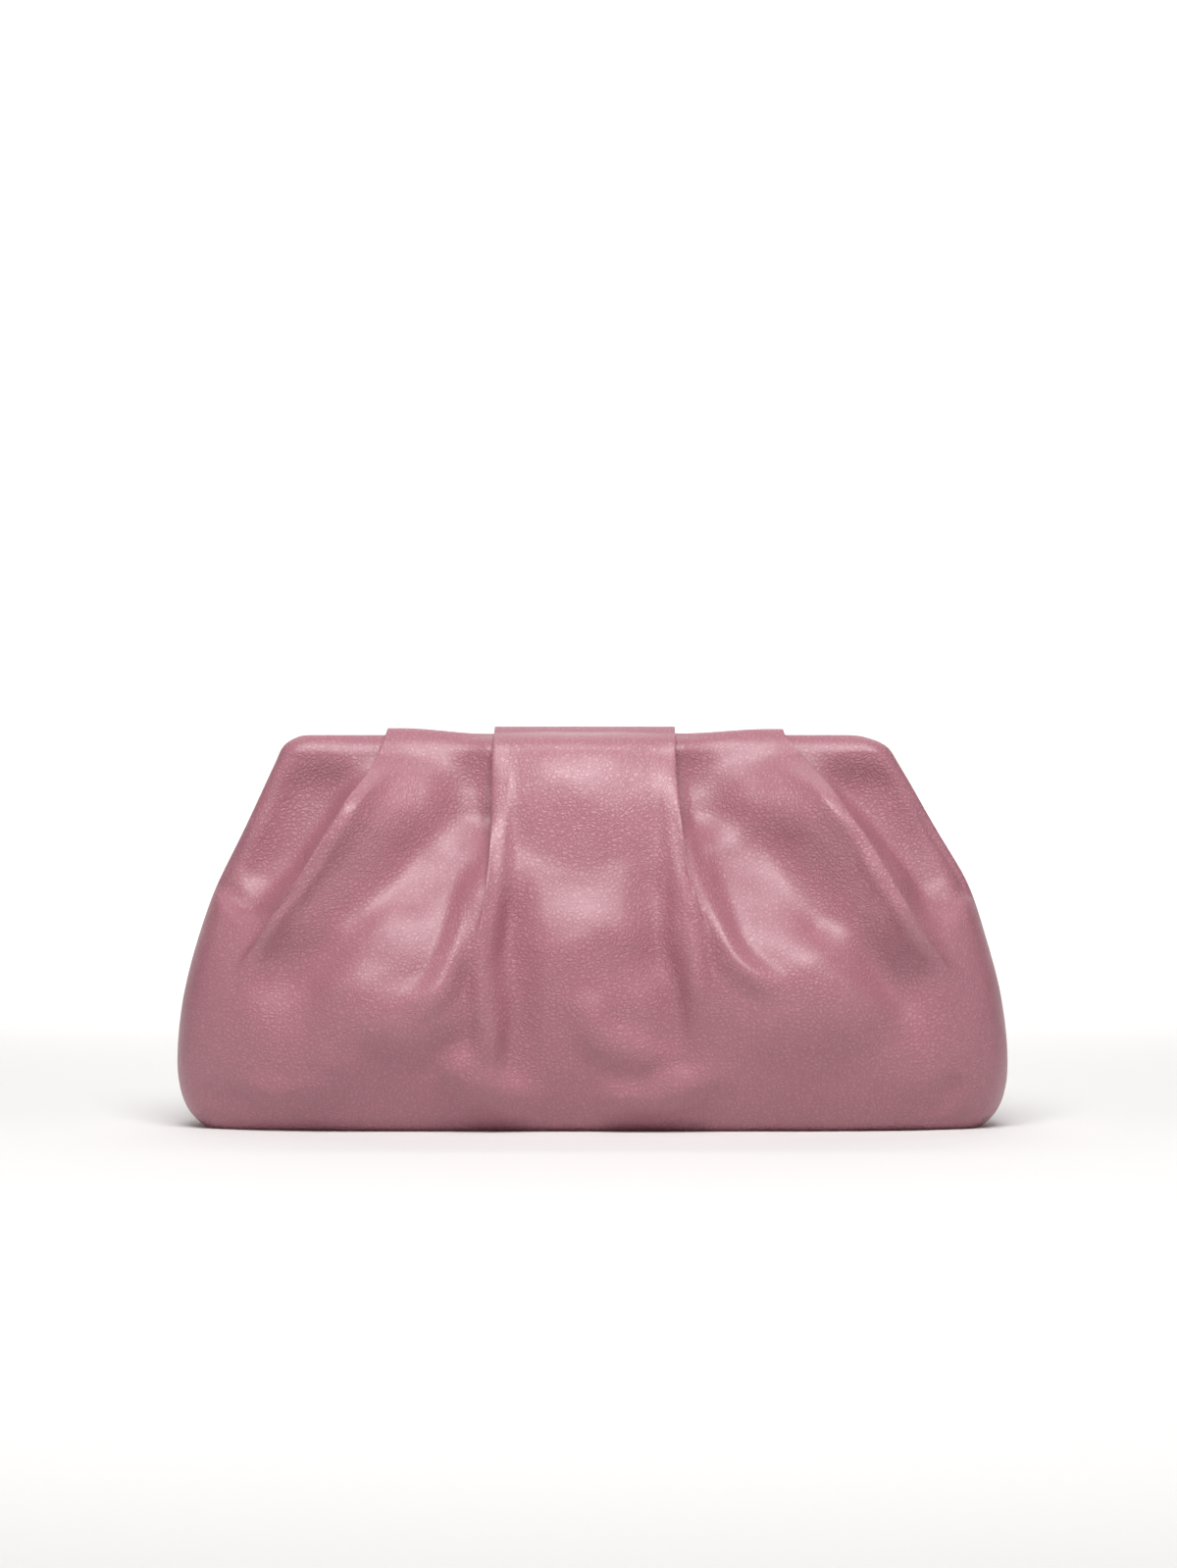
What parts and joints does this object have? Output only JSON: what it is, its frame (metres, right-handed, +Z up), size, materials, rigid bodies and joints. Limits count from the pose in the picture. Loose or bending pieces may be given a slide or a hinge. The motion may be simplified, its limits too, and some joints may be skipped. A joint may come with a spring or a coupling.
{
  "type": "cloud pouch bag",
  "caption": "Soft pleated leather clutch gathered onto a hidden hinged frame, closed, standing on its flat base",
  "frame": {"origin": "on the ground, under the middle of the bag", "axes": "X along the width, -Y is the front that the picture shows, Z up"},
  "size_m": [0.2899, 0.0954, 0.139],
  "materials": {
    "leather": "dusty rose nappa, fine grain, satin",
    "steel": "plain spring steel, hidden in the rim"
  },
  "bodies": {
    "root": {"front_panel": "leather", "back_panel": "leather", "closure_frame": "steel"}
  },
  "joints": []
}
